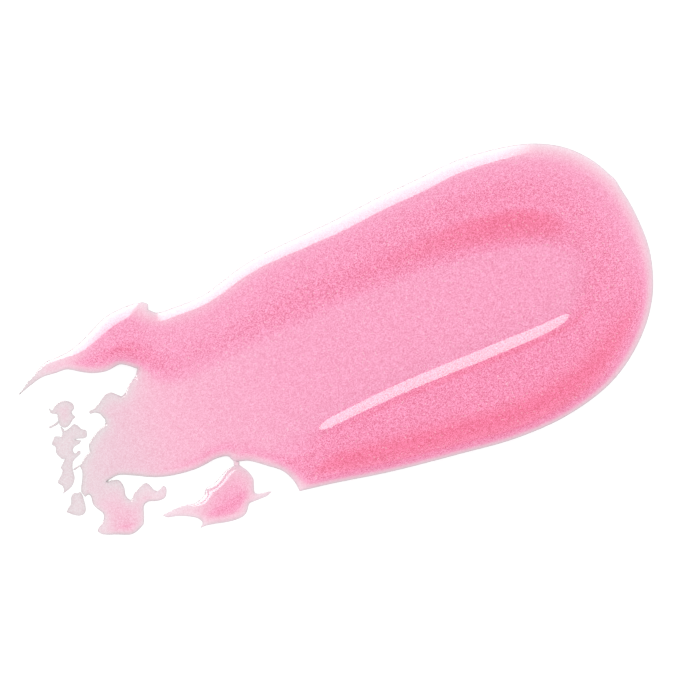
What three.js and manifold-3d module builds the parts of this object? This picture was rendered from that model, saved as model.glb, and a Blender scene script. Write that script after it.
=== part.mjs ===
// A lip gloss smear: one stroke of thick, pearly gloss drawn out on a flat surface, as the
// gloss alone, without the surface. The stroke starts at its round head (+X) and was dragged
// towards -X, where it thins to a film, tears, and leaves a few loose flecks.
//
// Frame: millimetres, +Z up, X along the stroke, Y across it. The underside is flat at z = 0
// and the origin is under the middle of the box around the whole smear.

import * as THREE from "three";
import { mergeVertices } from "three/addons/utils/BufferGeometryUtils.js";
import Module from "manifold-3d";

const wasm = await Module();
wasm.setup();

// ---- driving dimensions, mm ----

const FILM_HEIGHT = 0.25; // the film at the torn end
const VALLEY_HEIGHT = 1.2; // the trough that the applicator left along the middle
const FILM_END_X = -19.5; // the film starts to thicken here
const THICKENING_LENGTH = 13; // and is two thirds of the way to the valley's height after this
const RIM_SPREAD = 1.6; // width of the rounded rim, in heights of the gloss behind it
const LIP_HEIGHT = 0.12; // upright edge of the gloss, all round every piece
const PRISM_HEIGHT = 4; // taller than any gloss, for cutting to outline

// The applicator pushed up a thick bank round the valley: along the upper side from the spur,
// round the head and back along the lower side to the torn lobe. This is the middle of the
// bank's inner slope.
// Each point is x, y, the bank's height there and half the width of its slope.
const BANK = [
  [-22, 5.4, 1.0, 0.6],
  [-18, 4.7, 1.6, 1.9],
  [-13, 3.8, 1.95, 2.9],
  [-6, 4.0, 2.3, 2.7],
  [2, 4.3, 2.65, 2.4],
  [9, 4.1, 2.65, 2.2],
  [14, 3.2, 2.55, 1.9],
  [16.8, 1.9, 2.2, 1.6],
  [18.0, -0.2, 2.2, 1.5],
  [17.4, -2.4, 2.2, 1.25],
  [16.0, -3.85, 2.2, 1.05],
  [14.4, -4.31, 2.2, 0.91],
  [10, -4.5, 2.2, 0.88],
  [3, -4.68, 2.15, 0.95],
  [-1, -4.98, 2.05, 0.94],
  [-3.2, -5.22, 1.95, 0.95],
  [-6, -5.6, 1.4, 1.1],
  [-10, -5.5, 0.85, 1.1],
  [-14, -5.0, 0.6, 1.1],
  [-21, -5.2, 0.95, 1.2],
];

// ---- outlines ----
// An outline is a list of strokes. Each stroke is a smooth curve through its points, which
// runs on to the first point of the next stroke, and so the strokes meet at sharp corners.

const MAIN_OUTLINE = [
  // round the head and along the lower side
  [
    [22.0, 3.6], [22.46, 1.0], [22.46, -2.0], [21.5, -5.0], [19.6, -7.5], [16.8, -9.5], [13.0, -10.62],
    [9.0, -10.83], [5.0, -10.45], [0.0, -9.87], [-4.0, -9.2],
  ],
  // blunt lower corner and the neck above the leaf-shaped drop
  [
    [-6.42, -8.86], [-6.52, -8.16], [-7.0, -7.15], [-8.0, -6.32], [-9.0, -5.6], [-9.96, -5.25],
    [-10.24, -4.8], [-11.0, -4.64], [-12.4, -4.8], [-14.0, -4.69], [-15.5, -4.33], [-17.0, -3.61],
    [-17.9, -3.26],
  ],
  // crease and the torn lobe under it, with its hooked arm
  [[-18.8, -3.4], [-18.35, -3.45], [-17.95, -3.65], [-17.81, -4.23], [-17.92, -4.7], [-17.81, -5.1]],
  [
    [-17.65, -5.24], [-17.3, -4.86], [-16.9, -4.66], [-16.4, -4.47], [-16.16, -4.57], [-15.95, -5.08],
    [-15.7, -5.29], [-15.45, -5.2], [-15.23, -5.11], [-15.08, -5.27], [-15.2, -5.67], [-15.42, -5.91],
    [-15.9, -5.94], [-16.5, -5.76], [-16.93, -5.86], [-17.2, -6.55],
  ],
  [
    [-17.46, -7.11], [-17.9, -7.34], [-18.5, -7.46], [-19.2, -7.2], [-19.9, -6.95], [-20.45, -6.68],
    [-20.61, -6.36], [-20.3, -6.12], [-19.92, -5.78], [-19.81, -5.4], [-20.05, -5.0],
    [-20.24, -4.55], [-20.18, -4.05], [-20.29, -3.79],
  ],
  [
    [-20.6, -3.86], [-20.69, -3.37], [-20.37, -2.73], [-20.13, -2.1], [-20.14, -1.7], [-19.8, -1.43],
    [-19.5, -1.15], [-19.17, -1.03], [-19.08, -0.66], [-18.8, -0.32], [-18.35, -0.01],
    [-17.9, 0.23], [-17.42, 0.42],
  ],
  // small tab in the bay between the film and the spur
  [
    [-17.34, 0.7], [-17.52, 1.17], [-17.85, 1.41], [-18.16, 1.45], [-18.17, 1.63], [-17.8, 1.68],
    [-17.33, 1.95], [-16.8, 2.29], [-16.3, 2.32], [-15.98, 2.06],
  ],
  [[-15.72, 1.79], [-15.4, 1.9], [-14.9, 2.4], [-14.3, 2.74]],
  // lower edge of the spur, out to its tip
  [
    [-13.97, 3.2], [-14.4, 3.57], [-15.0, 3.93], [-15.9, 3.83], [-16.9, 4.01], [-17.8, 4.46],
    [-18.6, 4.94], [-19.4, 4.98], [-20.4, 5.04], [-21.3, 4.82],
  ],
  // upper edge of the spur, back to the notch where it leaves the body
  [
    [-22.48, 4.41], [-22.1, 4.66], [-21.5, 5.07], [-20.5, 5.6], [-19.8, 5.93], [-18.5, 5.98],
    [-17.2, 6.28], [-15.8, 6.92], [-14.7, 7.39], [-13.0, 7.55], [-12.1, 7.48], [-11.67, 7.15],
  ],
  // upper side
  [
    [-11.78, 6.8], [-11.3, 6.38], [-10.0, 6.28], [-8.0, 6.32], [-6.5, 6.68], [-5.0, 7.14],
    [-3.0, 7.52], [0.0, 7.76], [3.0, 7.99], [6.0, 8.34], [9.0, 8.56], [12.0, 8.8], [15.0, 8.57],
    [17.5, 8.0], [19.5, 6.95], [21.0, 5.4],
  ],
];

const LEAF_OUTLINE = [
  [
    [-9.72, -5.64], [-9.35, -6.2], [-9.15, -6.9], [-9.3, -7.4], [-9.4, -7.85], [-9.1, -8.03],
    [-8.6, -8.08],
  ],
  [[-8.26, -8.2], [-8.7, -8.37], [-9.5, -8.38], [-10.0, -8.4], [-10.24, -8.72], [-10.64, -9.05],
    [-11.2, -9.13], [-12.1, -9.03], [-13.1, -8.8]],
  [[-13.84, -8.77], [-13.56, -8.52], [-13.75, -8.1], [-14.3, -7.74], [-15.0, -7.44], [-15.7, -7.27]],
  [
    [-15.99, -7.0], [-15.4, -6.93], [-14.6, -6.89], [-14.05, -6.93], [-13.6, -7.06],
    [-13.15, -6.9], [-12.8, -6.78], [-12.5, -6.38], [-11.9, -6.26], [-11.2, -5.92],
    [-10.7, -5.67], [-10.2, -5.58],
  ],
];

// short neck that still ties the leaf-shaped drop to the body
const LEAF_NECK_OUTLINE = [
  [[-9.98, -5.31]],
  [[-9.68, -5.44], [-9.75, -5.52]],
  [[-9.78, -5.58]],
  [[-10.06, -5.52], [-10.0, -5.42]],
];

const TOP_FLECK_OUTLINE = [
  [
    [-20.72, 2.83], [-20.6, 2.63], [-20.35, 2.82], [-19.8, 3.0], [-19.35, 2.85], [-19.06, 2.5],
    [-19.12, 2.18], [-19.35, 2.03], [-19.33, 1.8], [-19.23, 1.63],
  ],
  [
    [-19.52, 1.46], [-19.85, 1.22], [-20.16, 1.17], [-20.44, 1.45], [-20.4, 1.98], [-20.34, 2.25],
    [-20.6, 2.36], [-20.76, 2.56],
  ],
];

// hair of gloss drawn out sideways from the top fleck
const TICK_OUTLINE = [
  [[-20.49, 1.78], [-20.85, 1.67], [-21.19, 1.62]],
  [[-21.19, 1.49], [-20.85, 1.52], [-20.49, 1.62]],
];

// hair of gloss between the top fleck and the column under it
const TOP_LINK_OUTLINE = [[[-20.43, 1.29]], [[-20.3, 1.12]], [[-20.34, 1.03]], [[-20.46, 1.03]]];

const COLUMN_FLECK_OUTLINE = [
  // left side, down to the lower tip
  [
    [-20.4, 0.99], [-20.63, 0.7], [-20.85, 0.77], [-21.05, 0.84], [-21.22, 0.7], [-21.43, 0.38],
    [-21.27, 0.15], [-21.37, -0.22], [-21.26, -0.6], [-21.1, -0.84],
  ],
  [
    [-20.96, -0.87], [-21.2, -1.12], [-21.44, -1.32], [-21.4, -1.58], [-21.87, -2.07],
    [-22.01, -2.25], [-21.8, -2.58], [-21.79, -2.9],
  ],
  // right side, round the lower arm
  [
    [-22.02, -3.11], [-21.65, -3.02], [-21.17, -2.81], [-20.83, -2.41], [-20.75, -2.05],
    [-20.69, -1.65], [-20.5, -1.26], [-20.1, -1.03], [-19.84, -0.94],
  ],
  [[-19.75, -0.72], [-19.95, -0.69], [-20.13, -0.79]],
  // round the two upper arms
  [[-20.22, -0.7], [-20.22, -0.48], [-20.0, -0.3], [-19.65, -0.24]],
  [[-19.43, -0.08], [-19.6, 0.03]],
  [
    [-19.82, 0.14], [-19.55, 0.12], [-19.2, 0.0], [-18.98, 0.05], [-18.86, 0.45], [-19.13, 0.66],
    [-19.27, 0.95], [-19.52, 1.17], [-19.8, 1.07], [-20.16, 0.97],
  ],
];

// hair of gloss between the column and the torn film
const COLUMN_THREAD_OUTLINE = [
  [[-20.64, -1.73], [-20.4, -1.7], [-20.2, -1.64]],
  [[-20.2, -1.73], [-20.4, -1.79], [-20.64, -1.82]],
];

const FOOT_FLECK_OUTLINE = [
  [
    [-21.39, -3.4], [-21.2, -3.34], [-20.98, -3.43], [-20.79, -3.4], [-20.74, -3.8], [-20.8, -4.45],
    [-20.99, -4.88], [-21.35, -4.96], [-21.76, -4.76],
  ],
  [[-22.19, -4.38], [-21.95, -4.15], [-21.68, -3.95], [-21.55, -3.62]],
];

// ---- gloss bodies ----

const COLOURS = { body: "#f792b6", drop: "#fbb2cd", fleck: "#ecd3dd" };
const FLECK_GRID = 0.2; // spacing of the height grid on the flecks

// Outline and greatest height of each piece. The main smear's height comes from its valley
// and its crest instead.
const PIECES = [
  { name: "main_smear", outline: MAIN_OUTLINE, grid: 0.75, colour: COLOURS.body },
  { name: "leaf_drop", outline: LEAF_OUTLINE, height: 0.95, grid: 0.32, colour: COLOURS.drop },
  { name: "leaf_neck", outline: LEAF_NECK_OUTLINE, height: 0.25, colour: COLOURS.drop },
  { name: "top_fleck", outline: TOP_FLECK_OUTLINE, height: 0.42 },
  { name: "tick_fleck", outline: TICK_OUTLINE, height: 0.16 },
  { name: "top_link", outline: TOP_LINK_OUTLINE, height: 0.16 },
  { name: "column_fleck", outline: COLUMN_FLECK_OUTLINE, height: 0.45 },
  { name: "column_thread", outline: COLUMN_THREAD_OUTLINE, height: 0.14 },
  { name: "foot_fleck", outline: FOOT_FLECK_OUTLINE, height: 0.4 },
];

// An outline as a polygon: fine steps along each curve, thinned to those where it has turned
// or run on enough to matter.
const FINE_STEP = 0.06;
const LONGEST_SIDE = 0.7;
const TURN_PER_SIDE = THREE.MathUtils.degToRad(11);

function outlineLoop(strokes) {
  const loop = [];
  strokes.forEach((stroke, index) => {
    const corner = strokes[(index + 1) % strokes.length][0];
    const knots = [...stroke, corner].map(([x, y]) => new THREE.Vector3(x, y, 0));
    const curve = new THREE.CatmullRomCurve3(knots, false, "centripetal");
    const steps = curve.getSpacedPoints(Math.ceil(curve.getLength() / FINE_STEP));
    let kept = steps[0];
    let heading = steps[1].clone().sub(kept);
    loop.push(new THREE.Vector2(kept.x, kept.y));
    for (let i = 1; i + 1 < steps.length; i += 1) {
      const next = steps[i + 1].clone().sub(steps[i]);
      const turned = heading.angleTo(next) > TURN_PER_SIDE;
      const farOn = steps[i].distanceTo(kept) > LONGEST_SIDE;
      const clearOfCorner = steps[i].distanceTo(steps[steps.length - 1]) > FINE_STEP;
      if ((turned || farOn) && clearOfCorner) {
        kept = steps[i];
        heading = next;
        loop.push(new THREE.Vector2(kept.x, kept.y));
      }
    }
  });
  return loop;
}

function distanceToSegment(point, start, end) {
  const along = end.clone().sub(start);
  const t = THREE.MathUtils.clamp(point.clone().sub(start).dot(along) / along.lengthSq(), 0, 1);
  return { distance: point.distanceTo(start.clone().addScaledVector(along, t)), t };
}

function distanceToLoop(point, loop) {
  const distances = loop.map((start, i) => distanceToSegment(point, start, loop[(i + 1) % loop.length]).distance);
  return Math.min(...distances);
}

function isInside(point, loop) {
  let inside = false;
  loop.forEach((a, i) => {
    const b = loop[(i + 1) % loop.length];
    const crosses = a.y > point.y !== b.y > point.y;
    if (crosses && point.x < a.x + ((point.y - a.y) * (b.x - a.x)) / (b.y - a.y)) inside = !inside;
  });
  return inside;
}

// Height of the main smear away from its rim: the valley inside the bank's inner slope, and
// the bank outside it. The bank is listed clockwise, so the valley is to the right of it.
function smearHeight(point) {
  const thickening = 1 - Math.exp(-Math.max(point.x - FILM_END_X, 0) / THICKENING_LENGTH);
  const valley = THREE.MathUtils.lerp(FILM_HEIGHT, VALLEY_HEIGHT, thickening);
  let nearest = { distance: Infinity };
  for (let i = 0; i + 1 < BANK.length; i += 1) {
    const [ax, ay, aHeight, aSlope] = BANK[i];
    const [bx, by, bHeight, bSlope] = BANK[i + 1];
    const start = new THREE.Vector2(ax, ay);
    const end = new THREE.Vector2(bx, by);
    const { distance, t } = distanceToSegment(point, start, end);
    if (distance < nearest.distance) {
      const height = THREE.MathUtils.lerp(aHeight, bHeight, t);
      const slope = THREE.MathUtils.lerp(aSlope, bSlope, t);
      const side = Math.sign(end.clone().sub(start).cross(point.clone().sub(start)));
      nearest = { distance, height, slope, side };
    }
  }
  const outward = nearest.side * nearest.distance;
  const rise = THREE.MathUtils.smoothstep(outward, -nearest.slope, nearest.slope);
  return THREE.MathUtils.lerp(valley, Math.max(valley, nearest.height), rise);
}

// Height of the gloss at a point: the full height, falling over the rim to the lip.
function glossHeight(point, loop, fullHeight) {
  if (!isInside(point, loop)) return LIP_HEIGHT;
  const t = Math.min(1, distanceToLoop(point, loop) / (RIM_SPREAD * fullHeight));
  return LIP_HEIGHT + (fullHeight - LIP_HEIGHT) * (2 * t - t * t);
}

function toSolid(geometry) {
  geometry.deleteAttribute("normal");
  geometry.deleteAttribute("uv");
  const merged = mergeVertices(geometry, 1e-5);
  const vertProperties = new Float32Array(merged.attributes.position.array);
  const triVerts = new Uint32Array(merged.index.array);
  return new wasm.Manifold(new wasm.Mesh({ numProp: 3, vertProperties, triVerts }));
}

function toGeometry(solid) {
  const { vertProperties, triVerts } = solid.getMesh();
  const geometry = new THREE.BufferGeometry();
  geometry.setAttribute("position", new THREE.BufferAttribute(new Float32Array(vertProperties), 3));
  geometry.setIndex(new THREE.BufferAttribute(new Uint32Array(triVerts), 1));
  geometry.computeVertexNormals();
  return geometry;
}

// A block whose top is the gloss surface over the box of the outline.
function surfaceBlock(loop, grid, heightAt) {
  const box = new THREE.Box2().setFromPoints(loop).expandByScalar(grid);
  const size = box.getSize(new THREE.Vector2());
  const middle = box.getCenter(new THREE.Vector2());
  const columns = Math.ceil(size.x / grid);
  const rows = Math.ceil(size.y / grid);
  const block = new THREE.BoxGeometry(size.x, size.y, 2, columns, rows, 1);
  block.translate(middle.x, middle.y, 0);
  const position = block.attributes.position;
  for (let i = 0; i < position.count; i += 1) {
    if (position.getZ(i) > 0) {
      position.setZ(i, heightAt(new THREE.Vector2(position.getX(i), position.getY(i))));
    }
  }
  return block;
}

function glossBody(piece) {
  const loop = outlineLoop(piece.outline);
  const fullHeight = piece.height ? () => piece.height : smearHeight;
  const heightAt = (point) => glossHeight(point, loop, fullHeight(point));
  const block = toSolid(surfaceBlock(loop, piece.grid ?? FLECK_GRID, heightAt));
  const prism = new THREE.ExtrudeGeometry(new THREE.Shape(loop), { depth: PRISM_HEIGHT, bevelEnabled: false });
  const geometry = toGeometry(block.intersect(toSolid(prism)));
  const material = new THREE.MeshStandardMaterial({
    color: piece.colour ?? COLOURS.fleck,
    roughness: 0.2,
    metalness: 0,
  });
  const mesh = new THREE.Mesh(geometry, material);
  mesh.name = piece.name;
  return mesh;
}

const smear = new THREE.Group();
PIECES.forEach((piece) => smear.add(glossBody(piece)));

// The outlines are drawn from a point near the middle, and the group moves the origin to the
// middle of the whole smear's box.
const middle = new THREE.Box3().setFromObject(smear, true).getCenter(new THREE.Vector3());
smear.position.set(-middle.x, -middle.y, 0);

export default smear;
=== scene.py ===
"""The looks of a lip gloss smear: fine gloss surfaces over the CAD outlines, pearly wet gloss,
a white studio and a camera straight above. Sizes are in millimetres until a mesh is made."""

import math

import bpy
import numpy as np
from mathutils.geometry import delaunay_2d_cdt
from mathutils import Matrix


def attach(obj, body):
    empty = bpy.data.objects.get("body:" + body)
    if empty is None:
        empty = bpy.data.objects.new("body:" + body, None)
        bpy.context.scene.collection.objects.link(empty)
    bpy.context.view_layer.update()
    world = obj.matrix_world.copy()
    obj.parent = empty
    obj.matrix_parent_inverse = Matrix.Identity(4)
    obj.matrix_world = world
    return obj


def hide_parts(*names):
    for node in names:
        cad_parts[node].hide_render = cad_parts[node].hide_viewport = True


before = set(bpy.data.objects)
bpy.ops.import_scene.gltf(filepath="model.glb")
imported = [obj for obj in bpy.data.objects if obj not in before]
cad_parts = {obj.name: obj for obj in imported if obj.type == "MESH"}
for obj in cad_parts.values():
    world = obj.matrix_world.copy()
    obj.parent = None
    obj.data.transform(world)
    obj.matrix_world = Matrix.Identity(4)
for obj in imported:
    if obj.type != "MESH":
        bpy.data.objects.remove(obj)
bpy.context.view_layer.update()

MM = 0.001  # metres in a millimetre

# The gloss was drawn about this point, measured from the middle of the smear's box. BANK's
# points, and the picture's middle, count from there.
DRAWING_CENTRE = np.array([-0.036, 1.02])

# ---- the gloss surface ----

# Along the middle the gloss thickens quickly from a film at the torn end, then slowly.
FILM_HEIGHT = 0.25
VALLEY_HEIGHT = 1.2
FILM_END_X = -19.5
THICKENING_LENGTH = 13.0

# The thick bank round the valley: x, y, its height, and half the width of its inner slope.
# The valley is to the right of the bank as it is listed.
BANK = [
    (-22, 5.4, 1.0, 0.6),
    (-18, 4.7, 1.6, 1.9),
    (-13, 3.8, 1.95, 2.9),
    (-6, 4.0, 2.3, 2.7),
    (2, 4.3, 2.65, 2.4),
    (9, 4.1, 2.65, 2.2),
    (14, 3.2, 2.55, 1.9),
    (16.8, 1.9, 2.2, 1.6),
    (18.0, -0.2, 2.2, 1.5),
    (17.4, -2.4, 2.2, 1.25),
    (16.0, -3.85, 2.2, 1.05),
    (14.4, -4.31, 2.2, 0.91),
    (10, -4.5, 2.2, 0.88),
    (3, -4.68, 2.15, 0.95),
    (-1, -4.98, 2.05, 0.94),
    (-3.2, -5.22, 1.95, 0.95),
    (-6, -5.6, 1.4, 1.1),
    (-10, -5.5, 0.85, 1.1),
    (-14, -5.0, 0.6, 1.1),
    (-21, -5.2, 0.95, 1.2),
]
BANK_STEPS = 24  # straight steps between two of its points

# Where the parts of the torn end begin and end: each pair is where the change starts and ends.
SPUR_X = (-13.0, -11.0)
SPUR_Y = (2.0, 4.0)
SPUR_TIP_X = (-22.0, -18.5)
FILM_X = (-17.5, -12.5)
LOBE_Y = (-5.5, -3.5)
LOBE_PINK = 0.5  # how much less of a film the torn lobe is than the gloss beside it
TORN_X = (-13.5, -11.0)
TORN_FACING = (-0.6, 0.2)  # towards +Y

# Surface tension rounds every edge over a length in proportion to the height behind it: a long
# one where the edge faces +Y, the side that the applicator left, and a short one facing -Y.
RIM_FACING = (-1, -0.85, 0, 1)
RIM_LENGTHS = (0.4, 0.58, 0.78, 0.9)
SPUR_RIM = 0.53  # on both sides of the spur
TORN_RIM = 1.45  # times longer again on the torn edges that face the light

# The joins between pieces are drawn out to run into the gloss on either side.
JOINS = {"leaf_neck": (1.2, 2.4), "top_link": (1.1, 1.5), "column_thread": (1.15, 1.2)}

# Each loose piece: its full height, how much of a film it is, and its rim.
LOOSE_PIECES = [
    ("leaf_drop", 1.3, 0.1, 0.58),
    ("leaf_neck", 0.7, 0.0, 0.3),
    ("top_fleck", 0.4, 1.0, 0.9),
    ("tick_fleck", 0.16, 1.0, 1.0),
    ("top_link", 0.16, 1.0, 1.0),
    ("column_fleck", 0.34, 1.0, 1.6),
    ("column_thread", 0.14, 1.0, 1.0),
    ("foot_fleck", 0.34, 1.0, 1.6),
]


def smoothstep(low, high, value):
    t = np.clip((value - low) / (high - low), 0.0, 1.0)
    return t * t * (3.0 - 2.0 * t)


def hermite_curve(points, tangents_in, tangents_out, steps):
    """Points along a smooth curve through points, each segment in its own number of steps."""
    made = []
    for i, count in enumerate(steps):
        here, there = points[i], points[(i + 1) % len(points)]
        span = np.linalg.norm((there - here)[:2])
        for k in range(count):
            t = k / count
            t2, t3 = t * t, t * t * t
            made.append(
                (2 * t3 - 3 * t2 + 1) * here
                + (t3 - 2 * t2 + t) * span * tangents_out[i]
                + (3 * t2 - 2 * t3) * there
                + (t3 - t2) * span * tangents_in[(i + 1) % len(points)]
            )
    return np.array(made)


def underside_outline(node):
    """The closed outline of a CAD node's flat underside, counter-clockwise from above, in mm."""
    mesh = node.data
    corners = np.array([v.co for v in mesh.vertices]) / MM
    keys = [tuple(c) for c in np.round(corners, 3)]
    place = {}
    following = {}
    edges = set()
    for polygon in mesh.polygons:
        loop = [keys[v] for v in polygon.vertices]
        if max(k[2] for k in loop) < 1e-3:
            edges.update(zip(loop, loop[1:] + loop[:1]))
    for a, b in edges:
        if (b, a) not in edges:
            following[a] = b
    for key, corner in zip(keys, corners):
        place[key] = corner[:2]
    start = min(following)
    outline = [start]
    while following[outline[-1]] != start:
        outline.append(following[outline[-1]])
    return np.array([place[key] for key in reversed(outline)])


SHARP_TURN = math.radians(20)  # the CAD outline turns more than this only at a real corner


def smooth_outline(outline, step):
    """The outline with its flats rounded out, keeping its sharp corners."""
    ahead = np.roll(outline, -1, axis=0) - outline
    ahead /= np.linalg.norm(ahead, axis=1, keepdims=True)
    behind = np.roll(ahead, 1, axis=0)
    turn = np.arccos(np.clip((ahead * behind).sum(1), -1, 1))
    through = ahead + behind
    through /= np.maximum(np.linalg.norm(through, axis=1, keepdims=True), 1e-9)
    sharp = (turn > SHARP_TURN)[:, None]
    spans = np.linalg.norm(np.roll(outline, -1, axis=0) - outline, axis=1)
    steps = np.maximum(1, np.ceil(spans / step)).astype(int)
    tangents_in = np.where(sharp, behind, through)
    tangents_out = np.where(sharp, ahead, through)
    return hermite_curve(outline, tangents_in, tangents_out, steps)


POINTS_AT_ONCE = 2000  # for distances, to keep the memory small


def distance_to_chain(points, chain, closed=True):
    """Distance from each point to the chain, the nearest segment, and how far along it."""
    start = chain if closed else chain[:-1]
    along = (np.roll(chain, -1, axis=0) if closed else chain[1:]) - start
    length2 = np.maximum((along**2).sum(1), 1e-12)
    nearest = np.empty(len(points))
    which = np.empty(len(points), dtype=int)
    how_far = np.empty(len(points))
    for low in range(0, len(points), POINTS_AT_ONCE):
        batch = slice(low, low + POINTS_AT_ONCE)
        part = points[batch]
        offset = part[:, None, :] - start[None, :, :]
        t = np.clip((offset * along).sum(2) / length2, 0, 1)
        gap = ((offset - t[:, :, None] * along) ** 2).sum(2)
        best = gap.argmin(1)
        rows = np.arange(len(part))
        nearest[batch] = np.sqrt(gap[rows, best])
        which[batch] = best
        how_far[batch] = t[rows, best]
    return nearest, which, how_far


def inside(points, outline):
    """Which points the outline goes round."""
    result = np.zeros(len(points), dtype=bool)
    for (ax, ay), (bx, by) in zip(outline, np.roll(outline, -1, axis=0)):
        if ay != by:
            crosses = (ay > points[:, 1]) != (by > points[:, 1])
            result ^= crosses & (points[:, 0] < ax + (points[:, 1] - ay) * (bx - ax) / (by - ay))
    return result


def smear_height(points):
    """Height of the main smear away from its rim."""
    drawn = points - DRAWING_CENTRE
    bank = np.array(BANK, dtype=float)
    tangents = np.gradient(bank, axis=0)
    tangents /= np.linalg.norm(tangents[:, :2], axis=1, keepdims=True)
    steps = [BANK_STEPS] * (len(bank) - 1) + [0]
    chain = hermite_curve(bank, tangents, tangents, steps)
    distance, which, t = distance_to_chain(drawn, chain[:, :2], closed=False)
    along = chain[which + 1] - chain[which]
    offset = drawn - chain[which, :2]
    side = np.sign(along[:, 0] * offset[:, 1] - along[:, 1] * offset[:, 0])
    height = chain[which, 2] + t * along[:, 2]
    half_slope = chain[which, 3] + t * along[:, 3]
    thinning = np.exp(-np.maximum(drawn[:, 0] - FILM_END_X, 0.0) / THICKENING_LENGTH)
    valley = VALLEY_HEIGHT - (VALLEY_HEIGHT - FILM_HEIGHT) * thinning
    rise = smoothstep(-1.0, 1.0, side * distance / half_slope)
    return valley + np.maximum(height - valley, 0.0) * rise


def spur_share(points):
    """1 on the spur at the upper corner of the torn end, 0 over the rest."""
    x, y = (points - DRAWING_CENTRE).T
    return smoothstep(*SPUR_Y, y) * (1 - smoothstep(*SPUR_X, x))


def film_share(points):
    """1 where the torn end is only a film, 0 over the body and the spur."""
    x, y = (points - DRAWING_CENTRE).T
    tip = 1 - smoothstep(*SPUR_TIP_X, x)
    lobe = 1 - smoothstep(*LOBE_Y, y)
    torn = np.maximum(1 - spur_share(points), tip) * (1 - LOBE_PINK * lobe)
    return (1 - smoothstep(*FILM_X, x)) * torn


def smear_rim(points, out):
    """Length that an edge is rounded over, as a multiple of the height behind it."""
    x = (points - DRAWING_CENTRE)[:, 0]
    torn = (1 - smoothstep(*TORN_X, x)) * smoothstep(*TORN_FACING, out[:, 1])
    body = np.interp(out[:, 1], RIM_FACING, RIM_LENGTHS) * (1 + (TORN_RIM - 1) * torn)
    return body + (SPUR_RIM - body) * spur_share(points)


def nearest_edge(points, outline):
    """Distance to the outline, and the way out across it there."""
    distance, which, _ = distance_to_chain(points, outline)
    along = np.roll(outline, -1, axis=0) - outline
    out = np.column_stack([along[:, 1], -along[:, 0]])
    out /= np.linalg.norm(out, axis=1, keepdims=True)
    return distance, out[which]


def hex_grid(low, high, spacing):
    """Points an even distance apart that fill the box from low to high."""
    rows = np.arange(low[1], high[1], spacing * math.sqrt(3) / 2)
    columns = np.arange(low[0], high[0], spacing)
    x, y = np.meshgrid(columns, rows)
    x = x + (np.arange(len(rows)) % 2)[:, None] * spacing / 2
    return np.column_stack([x.ravel(), y.ravel()])


def thinned(points, cell):
    """The first point in each square cell."""
    _, first = np.unique(np.floor(points / cell).astype(int), axis=0, return_index=True)
    return points[np.sort(first)]


FIRST_RING = 0.4  # distance of the first ring of points from the outline, in outline steps
RING_GROWTH = 1.35  # from each gap between rings to the next
RING_SHRINK = 0.93  # a ring's points nearer the outline than this share of its depth are dropped
RING_CELL = 0.5  # a ring keeps one point in each cell of this many gaps, or outline steps if longer
GRID_GAP = 0.6  # between the last ring and the grid, in grid spacings


def surface_points(coarse, outline, step, spacing):
    """Inner points of a piece: rings that follow its edge, then an even grid."""
    ahead = np.roll(outline, -1, axis=0) - np.roll(outline, 1, axis=0)
    inward = np.column_stack([-ahead[:, 1], ahead[:, 0]])
    inward /= np.linalg.norm(inward, axis=1, keepdims=True)
    rings = []
    depth = 0.0
    gap = step * FIRST_RING
    while gap < spacing:
        depth += gap
        gap *= RING_GROWTH
        ring = outline + inward * depth
        ring = ring[inside(ring, coarse)]
        distance = distance_to_chain(ring, outline)[0]
        ring = ring[distance > RING_SHRINK * depth]
        rings.append(thinned(ring, RING_CELL * max(gap, step)))
    grid = hex_grid(outline.min(0), outline.max(0), spacing)
    grid = grid[inside(grid, coarse)]
    grid = grid[distance_to_chain(grid, coarse)[0] > depth + GRID_GAP * spacing]
    return np.vstack(rings + [grid])


SMALLEST_AREA = 1e-9  # mm2, for triangles that have none
MOST_ROUNDS = 2000
SOLVED = 1e-12  # share of the starting energy that is left when the surface is found


def meniscus(points, triangles, edge_count, length):
    """How much of its full height the gloss reaches, from 0 at the outline to 1 inside: the
    small-slope surface tension equation u - div(length^2 grad u) = 1, by conjugate gradients.
    The first edge_count points are the outline."""
    a, b, c = (points[triangles[:, k]] for k in range(3))
    area = 0.5 * ((b - a)[:, 0] * (c - a)[:, 1] - (b - a)[:, 1] * (c - a)[:, 0])
    area = np.maximum(area, SMALLEST_AREA)
    spread = (length[triangles] ** 2).mean(1)
    rows, columns, values = [], [], []
    opposite = [c - b, a - c, b - a]
    for i in range(3):
        j = (i + 1) % 3
        weight = spread * (opposite[i] * opposite[j]).sum(1) / (4 * area)
        rows += [triangles[:, i], triangles[:, j]]
        columns += [triangles[:, j], triangles[:, i]]
        values += [weight, weight]
    rows, columns, values = map(np.concatenate, (rows, columns, values))
    count = len(points)
    mass = np.bincount(triangles.ravel(), np.repeat(area / 3, 3), count)
    diagonal = mass - np.bincount(rows, values, count)
    free = np.arange(count) >= edge_count

    def apply(u):
        return (diagonal * u + np.bincount(rows, values * u[columns], count)) * free

    u = np.zeros(count)
    residual = mass * free
    scaled = residual / diagonal * free
    direction = scaled.copy()
    energy = residual @ scaled
    goal = energy * SOLVED
    for _ in range(MOST_ROUNDS):
        if energy < goal:
            break
        product = apply(direction)
        pace = energy / (direction @ product)
        u += pace * direction
        residual -= pace * product
        scaled = residual / diagonal * free
        fresh = residual @ scaled
        direction = scaled + fresh / energy * direction
        energy = fresh
    return np.clip(u, 0.0, 1.0)


INSIDE_ONLY = 1  # the triangulation keeps what is inside the outline
SAME_POINT = 1e-7
NO_AREA = 1e-10


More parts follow.
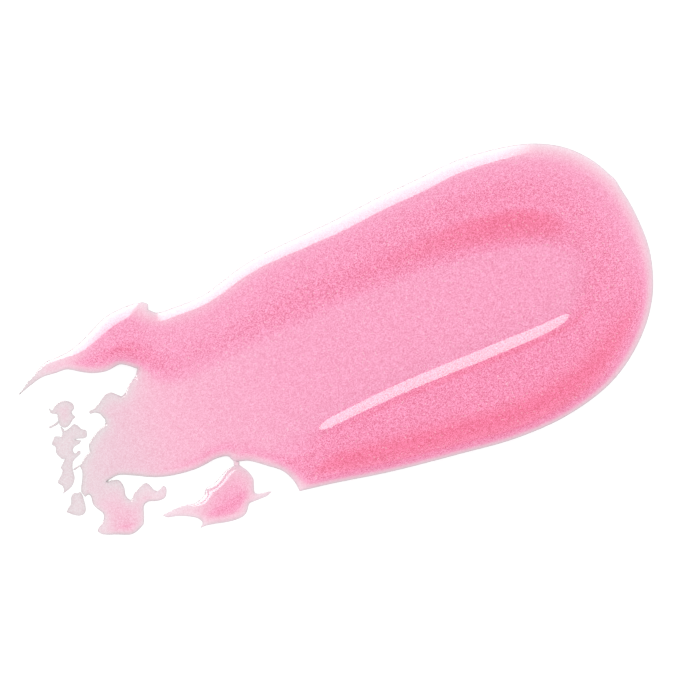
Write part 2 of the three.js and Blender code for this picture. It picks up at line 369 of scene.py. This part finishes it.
def triangulate(outline, inner):
    """Triangles over the outline and the points in it, counter-clockwise from above."""
    points = [tuple(p) for p in np.vstack([outline, inner])]
    loop = list(range(len(outline)))
    made = delaunay_2d_cdt(points, [], [loop], INSIDE_ONLY, SAME_POINT)
    corners = np.array([tuple(v) for v in made[0]])
    faces = np.array([f for f in made[2] if len(f) == 3])
    # the outline's points come first, in order, as they went in
    source = [ids[0] if ids else -1 for ids in made[3]]
    order = np.argsort([s if s >= 0 else len(points) for s in source], kind="stable")
    back = np.empty(len(order), dtype=int)
    back[order] = np.arange(len(order))
    used = corners[order]
    faces = back[faces]
    a, b, c = (used[faces[:, k]] for k in range(3))
    turn = (b - a)[:, 0] * (c - a)[:, 1] - (b - a)[:, 1] * (c - a)[:, 0]
    faces[turn < 0] = faces[turn < 0][:, ::-1]
    return used, faces[np.abs(turn) > NO_AREA]


def slope_of(points, heights, triangles):
    """Gradient of the height at each point."""
    a, b, c = (points[triangles[:, k]] for k in range(3))
    za, zb, zc = (heights[triangles[:, k]] for k in range(3))
    double = (b - a)[:, 0] * (c - a)[:, 1] - (b - a)[:, 1] * (c - a)[:, 0]
    gx = (zb - za) * (c - a)[:, 1] - (zc - za) * (b - a)[:, 1]
    gy = (zc - za) * (b - a)[:, 0] - (zb - za) * (c - a)[:, 0]

    def gathered(values):
        return np.bincount(triangles.ravel(), np.repeat(values, 3), len(points))

    total = np.maximum(gathered(double), 1e-12)
    return np.column_stack([gathered(g) / total for g in (gx, gy)])


# ---- how deep the gloss looks, with painted shade on its slopes and edges ----

# A material's colour follows the depth stored on its mesh. It is the height of the gloss plus
# painted shade on its slopes, in the drawing's own light from +Y: deeper pink where they face away
# from it.
STEEP = 0.37  # a slope this steep has the full effect
SHADE_DEPTH_FACING_AWAY = 1.42  # painted shade: mm of depth added to a slope facing -Y, away from the light
HEIGHTS_FACING_AWAY = (0.3, 1.3)  # that gain grows from none to full between these heights
SHADE_DEPTH_FACING_LIGHT = (-0.05, 0.5)  # the same for one facing the light, where thin (painted light) and where thick (painted shade)
THIN_AND_THICK = (1.4, 2.1)  # heights that count as thin and thick there
SHALLOWEST = 0.4  # the depth is never less than this share of the height

EDGE_SHADE_WIDTH = 0.14  # mm of painted shade along the edge
EDGE_SHADE_FACING = (0.3, -0.7)  # its strength on an edge facing +X, and the change to +Y
EDGE_SHADE_LOST_IN_FILM = 0.5  # share of it that a film lacks


def depth_with_painted_shade(points, heights, triangles):
    """How deep the gloss looks at each point, in mm: its height plus painted shade by slope."""
    slope = slope_of(points, heights, triangles)
    facing = -slope[:, 1] / np.sqrt(1 + (slope**2).sum(1))
    away = smoothstep(0, STEEP, -facing) * smoothstep(*HEIGHTS_FACING_AWAY, heights)
    toward = smoothstep(0, STEEP, facing)
    thin, thick = SHADE_DEPTH_FACING_LIGHT
    gained = thin + (thick - thin) * smoothstep(*THIN_AND_THICK, heights)
    depth = heights + SHADE_DEPTH_FACING_AWAY * away + gained * toward
    return np.maximum(depth, SHALLOWEST * heights)


def painted_edge_shade(distance, out, film):
    """How strongly each point takes painted shade along the edge, most where it faces -Y, away from
    the light.
    """
    sideways, change = EDGE_SHADE_FACING
    shaded = np.clip(np.maximum(sideways + change * out[:, 1], film), 0, 1)
    shaded *= 1 - EDGE_SHADE_LOST_IN_FILM * film
    return shaded * np.exp(-((distance / EDGE_SHADE_WIDTH) ** 2))


def add_attribute(mesh, name, values):
    attribute = mesh.attributes.new(name, "FLOAT", "POINT")
    attribute.data.foreach_set("value", values.astype(np.float32))


def gloss_piece(name, step, spacing, height_at, film_at, rim_at, stretch=(1.0, 1.0)):
    """A closed mesh over the outline of the CAD node, in steps and a grid spacing in mm."""
    coarse = underside_outline(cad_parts[name])
    middle = (coarse.min(0) + coarse.max(0)) / 2
    coarse = middle + (coarse - middle) * stretch
    outline = smooth_outline(coarse, step)
    inner = surface_points(coarse, outline, step, spacing)
    points, triangles = triangulate(outline, inner)
    edge = len(outline)
    film = film_at(points)
    distance, out = nearest_edge(points, outline)
    full = height_at(points)
    heights = full * meniscus(points, triangles, edge, rim_at(points, out) * full)

    _, floor_triangles = triangulate(outline, np.empty((0, 2)))
    vertices = np.column_stack([points, heights]) * MM
    vertices[:edge, 2] = 0.0
    faces = triangles.tolist() + floor_triangles[:, ::-1].tolist()
    mesh = bpy.data.meshes.new(name + "_gloss")
    mesh.from_pydata(vertices.tolist(), [], faces)
    # the gloss depth, with painted shade on slopes facing away from the light
    add_attribute(mesh, "gloss_depth_and_shade", depth_with_painted_shade(points, heights, triangles))
    add_attribute(mesh, "gloss_film", film)
    # painted shade along the edge
    add_attribute(mesh, "gloss_edge_shade", painted_edge_shade(distance, out, film))
    smooth = [True] * len(triangles) + [False] * len(floor_triangles)
    mesh.polygons.foreach_set("use_smooth", smooth)
    mesh.validate()
    piece = bpy.data.objects.new(name + "_gloss", mesh)
    bpy.context.scene.collection.objects.link(piece)
    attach(piece, "root")
    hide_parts(name)
    return piece


# ---- materials ----

SKY = 1.22  # brightness of the white surroundings, a little over white
MIRRORED = 0.05  # share of them that the wet surface reflects

# Gloss colour on white, as it looks: depth in mm, red, green, blue out of 255.
# The depth these stops are read at includes the painted shade on slopes.
BODY_COLOURS = [
    (0.0, 252, 228, 238),
    (0.15, 252, 218, 230),
    (0.3, 252, 208, 224),
    (0.45, 252, 199, 218),
    (0.6, 252, 190, 213),
    (0.75, 252, 181, 208),
    (0.9, 252, 172, 203),
    (1.2, 252, 166, 199),
    (1.5, 251, 160, 194),
    (1.8, 251, 156, 190),
    (2.2, 250, 152, 187),
    (2.6, 250, 143, 177),
    (3.0, 249, 134, 168),
    (3.4, 248, 128, 163),
]

# The same where it is torn to a film, whose pearl looks greyer.
FILM_COLOURS = [
    (0.0, 233, 220, 224),
    (0.12, 237, 221, 226),
    (0.25, 240, 212, 222),
    (0.4, 243, 203, 218),
    (0.55, 245, 197, 215),
    (0.7, 248, 188, 211),
    (0.9, 251, 176, 205),
    (1.2, 252, 166, 199),
    (1.8, 251, 156, 190),
    (2.6, 250, 143, 177),
    (3.4, 248, 128, 163),
]
DEEPEST = 3.4


def linear(value):
    """The linear light of a colour value out of 255."""
    value /= 255
    return value / 12.92 if value <= 0.04045 else ((value + 0.055) / 1.055) ** 2.4


def pigment(red, green, blue):
    """The base colour that looks like this colour under the sky, reflections included."""
    seen = [linear(v) for v in (red, green, blue)]
    return [max(0.0, (v - MIRRORED * SKY) / (SKY * (1 - MIRRORED))) for v in seen] + [1.0]


FLAKE_SIZE = 0.05  # mm
FLAKE_TINT = (0.37, 1.0, 0.85)  # flakes change green and blue more than red
FLAKES_IN_FILM = 0.12  # how much they change the colour where the gloss is thin
FLAKES_IN_DEEP = 0.53  # and where it is thick
FLAKE_DEPTHS = (0.2, 1.7)  # mm of gloss that count as thin and thick
# Painted glints: a few cells of the gloss mixed towards near white, as if catching the light.
PAINTED_GLINT_SIZE = 0.09  # mm
PAINTED_GLINT_SHARE = 0.04  # of the gloss
PAINTED_GLINT_STRENGTH = 0.3
PAINTED_GLINT_COLOUR = (255, 240, 240)
EDGE_SHADE_LOSS = 0.13  # painted shade: share of its light that the edge line loses


def depth_ramp(nodes, links, colours, depth):
    """The colour for a depth that is given as a share of the deepest."""
    ramp = nodes.new("ShaderNodeValToRGB")
    stops = ramp.color_ramp.elements
    while len(stops) < len(colours):
        stops.new(0.5)
    for stop, (mm, *colour) in zip(stops, colours):
        stop.position = mm / DEEPEST
        stop.color = pigment(*colour)
    links.new(depth, ramp.inputs["Fac"])
    return ramp.outputs["Color"]


def attribute_value(nodes, name):
    node = nodes.new("ShaderNodeAttribute")
    node.attribute_name = name
    return node.outputs["Fac"]


def remapped(nodes, links, value, source, target):
    node = nodes.new("ShaderNodeMapRange")
    node.inputs["From Min"].default_value, node.inputs["From Max"].default_value = source
    node.inputs["To Min"].default_value, node.inputs["To Max"].default_value = target
    links.new(value, node.inputs["Value"])
    return node.outputs["Result"]


def cell_values(nodes, links, size):
    """A random number for each cell of the given size in mm."""
    place = nodes.new("ShaderNodeTexCoord")
    cells = nodes.new("ShaderNodeTexVoronoi")
    cells.inputs["Scale"].default_value = 1 / (size * MM)
    links.new(place.outputs["Object"], cells.inputs["Vector"])
    split = nodes.new("ShaderNodeSeparateColor")
    links.new(cells.outputs["Color"], split.inputs["Color"])
    return split.outputs["Red"]


def vector_maths(nodes, links, operation, *values):
    node = nodes.new("ShaderNodeVectorMath")
    node.operation = operation
    for socket, value in zip(node.inputs, values):
        if isinstance(value, tuple):
            socket.default_value = value
        else:
            links.new(value, socket)
    return node.outputs["Vector"]


def gloss_material(name):
    """Coloured gloss with pearl flakes under a clear wet surface, with painted shade and painted
    glints.
    """
    material = bpy.data.materials.new(name)
    material.use_nodes = True
    nodes = material.node_tree.nodes
    links = material.node_tree.links
    shader = nodes["Principled BSDF"]

    # depth with painted shade on slopes facing away from the light
    depth = attribute_value(nodes, "gloss_depth_and_shade")
    share = remapped(nodes, links, depth, (0, DEEPEST), (0, 1))
    mixed = nodes.new("ShaderNodeMixRGB")
    links.new(attribute_value(nodes, "gloss_film"), mixed.inputs["Fac"])
    links.new(depth_ramp(nodes, links, BODY_COLOURS, share), mixed.inputs["Color1"])
    links.new(depth_ramp(nodes, links, FILM_COLOURS, share), mixed.inputs["Color2"])

    strength = remapped(nodes, links, depth, FLAKE_DEPTHS, (FLAKES_IN_FILM, FLAKES_IN_DEEP))
    flake = remapped(nodes, links, cell_values(nodes, links, FLAKE_SIZE), (0, 1), (-1, 1))
    amount = vector_maths(nodes, links, "MULTIPLY", flake, strength)
    tint = vector_maths(nodes, links, "MULTIPLY_ADD", amount, FLAKE_TINT, (1.0, 1.0, 1.0))
    flaked = vector_maths(nodes, links, "MULTIPLY", mixed.outputs["Color"], tint)

    # painted shade along the edges, strongest where they face away from the light
    contour = attribute_value(nodes, "gloss_edge_shade")
    shade = remapped(nodes, links, contour, (0, 1), (1, 1 - EDGE_SHADE_LOSS))
    edged = vector_maths(nodes, links, "MULTIPLY", flaked, shade)

    # painted glints: a few cells mixed towards near white
    painted_glint = nodes.new("ShaderNodeMixRGB")
    chosen = cell_values(nodes, links, PAINTED_GLINT_SIZE)
    links.new(
        remapped(nodes, links, chosen, (1 - PAINTED_GLINT_SHARE, 1), (0, PAINTED_GLINT_STRENGTH)),
        painted_glint.inputs["Fac"],
    )
    links.new(edged, painted_glint.inputs["Color1"])
    painted_glint.inputs["Color2"].default_value = pigment(*PAINTED_GLINT_COLOUR)
    links.new(painted_glint.outputs["Color"], shader.inputs["Base Color"])

    shader.inputs["Roughness"].default_value = 0.45
    shader.inputs["Specular IOR Level"].default_value = 0.0
    shader.inputs["Coat Weight"].default_value = 1.0
    shader.inputs["Coat Roughness"].default_value = 0.02
    shader.inputs["Coat IOR"].default_value = 1.5
    return material


# ---- studio ----

SOFTBOX_AWAY = 600.0
SOFTBOX_TOP = math.radians(18)
SOFTBOX_BOTTOM = math.radians(-42)  # below the table, which mirrors it for the wet surface
SOFTBOX_FACING = math.radians(14)  # turned from +Y towards -X
SOFTBOX_HALF_WIDTH = 460.0
SOFTBOX_RADIANCE = 6.7
SOFTBOX_COLOUR = (1.0, 0.98, 0.9, 1.0)
SOFTBOX_FADE = 0.2  # share of its width over which its +X end darkens
BELOW = 0.4  # brightness of what steep edges mirror in place of the table
HORIZON = (-0.1, 0)  # the surroundings go from that brightness to the sky's at these heights
TABLE_HALF = 3000.0
TABLE_DROP = 0.01  # below the smear's underside


def white_studio():
    world = bpy.data.worlds.new("white_studio")
    bpy.context.scene.world = world
    world.use_nodes = True
    nodes = world.node_tree.nodes
    links = world.node_tree.links
    background = nodes["Background"]
    background.inputs["Color"].default_value = (1, 1, 1, 1)
    place = nodes.new("ShaderNodeTexCoord")
    split = nodes.new("ShaderNodeSeparateXYZ")
    links.new(place.outputs["Generated"], split.inputs["Vector"])
    strength = remapped(nodes, links, split.outputs["Z"], HORIZON, (BELOW, SKY))
    links.new(strength, background.inputs["Strength"])

    half = TABLE_HALF * MM
    corners = [(-half, -half), (half, -half), (half, half), (-half, half)]
    sheet = bpy.data.meshes.new("white_table")
    sheet.from_pydata([(x, y, -TABLE_DROP * MM) for x, y in corners], [], [(0, 1, 2, 3)])
    table = bpy.data.objects.new("white_table", sheet)
    bpy.context.scene.collection.objects.link(table)
    paper = bpy.data.materials.new("white_paper")
    paper.use_nodes = True
    shader = paper.node_tree.nodes["Principled BSDF"]
    shader.inputs["Base Color"].default_value = (0.95, 0.95, 0.95, 1)
    shader.inputs["Roughness"].default_value = 0.9
    shader.inputs["Specular IOR Level"].default_value = 0.0
    sheet.materials.append(paper)
    table.visible_glossy = False


def softbox():
    light = bpy.data.lights.new("softbox", "AREA")
    light.shape = "RECTANGLE"
    top = SOFTBOX_AWAY * math.tan(SOFTBOX_TOP) * MM
    bottom = SOFTBOX_AWAY * math.tan(SOFTBOX_BOTTOM) * MM
    height = top - bottom
    width = 2 * SOFTBOX_HALF_WIDTH * MM
    light.size = width
    light.size_y = height
    light.energy = SOFTBOX_RADIANCE * math.pi * width * height
    light.use_nodes = True
    nodes = light.node_tree.nodes
    links = light.node_tree.links
    place = nodes.new("ShaderNodeNewGeometry")
    split = nodes.new("ShaderNodeSeparateXYZ")
    links.new(place.outputs["Parametric"], split.inputs["Vector"])
    fade = remapped(nodes, links, split.outputs["X"], (1 - SOFTBOX_FADE, 1), (1, 0))
    links.new(fade, nodes["Emission"].inputs["Strength"])
    nodes["Emission"].inputs["Color"].default_value = SOFTBOX_COLOUR
    lamp = bpy.data.objects.new("softbox", light)
    bpy.context.scene.collection.objects.link(lamp)
    away = SOFTBOX_AWAY * MM
    lamp.location = (
        -math.sin(SOFTBOX_FACING) * away,
        math.cos(SOFTBOX_FACING) * away,
        (top + bottom) / 2,
    )
    # the light shines along its own -Z: stand it upright, facing back at the smear
    lamp.rotation_euler = (math.radians(-90), 0, SOFTBOX_FACING)
    lamp.visible_diffuse = False
    lamp.visible_camera = False


# ---- camera ----

PICTURE_WIDTH = 47.53  # of the table
PICTURE_ROLL = math.radians(21)  # the stroke runs up to the right in the picture
PICTURE_CENTRE = DRAWING_CENTRE + np.array([-0.02, 0.045])
CAMERA_HEIGHT = 600.0
SENSOR = 36
NEAREST_SEEN = 10.0


def camera():
    lens = bpy.data.cameras.new("camera")
    lens.sensor_width = SENSOR
    lens.lens = SENSOR * CAMERA_HEIGHT / PICTURE_WIDTH
    lens.clip_start = NEAREST_SEEN * MM
    view = bpy.data.objects.new("camera", lens)
    bpy.context.scene.collection.objects.link(view)
    view.location = (PICTURE_CENTRE[0] * MM, PICTURE_CENTRE[1] * MM, CAMERA_HEIGHT * MM)
    view.rotation_euler = (0, 0, -PICTURE_ROLL)
    bpy.context.scene.camera = view


camera()
white_studio()
softbox()
bpy.context.scene.view_settings.view_transform = "Standard"

# Outline steps and grid spacings, mm
MAIN_MESH = (0.1, 0.15)
LOOSE_MESH = (0.06, 0.08)


def everywhere(value):
    """A function that gives each point the same value."""
    return lambda points, *_: np.full(len(points), value)


main = gloss_piece("main_smear", *MAIN_MESH, smear_height, film_share, smear_rim)
main.data.materials.append(gloss_material("body_gloss"))

drop_gloss = gloss_material("drop_gloss")
film_gloss = gloss_material("film_gloss")
for node, *shape in LOOSE_PIECES:
    stretch = JOINS.get(node, (1.0, 1.0))
    piece = gloss_piece(node, *LOOSE_MESH, *map(everywhere, shape), stretch)
    in_drop = node.startswith("leaf")
    piece.data.materials.append(drop_gloss if in_drop else film_gloss)
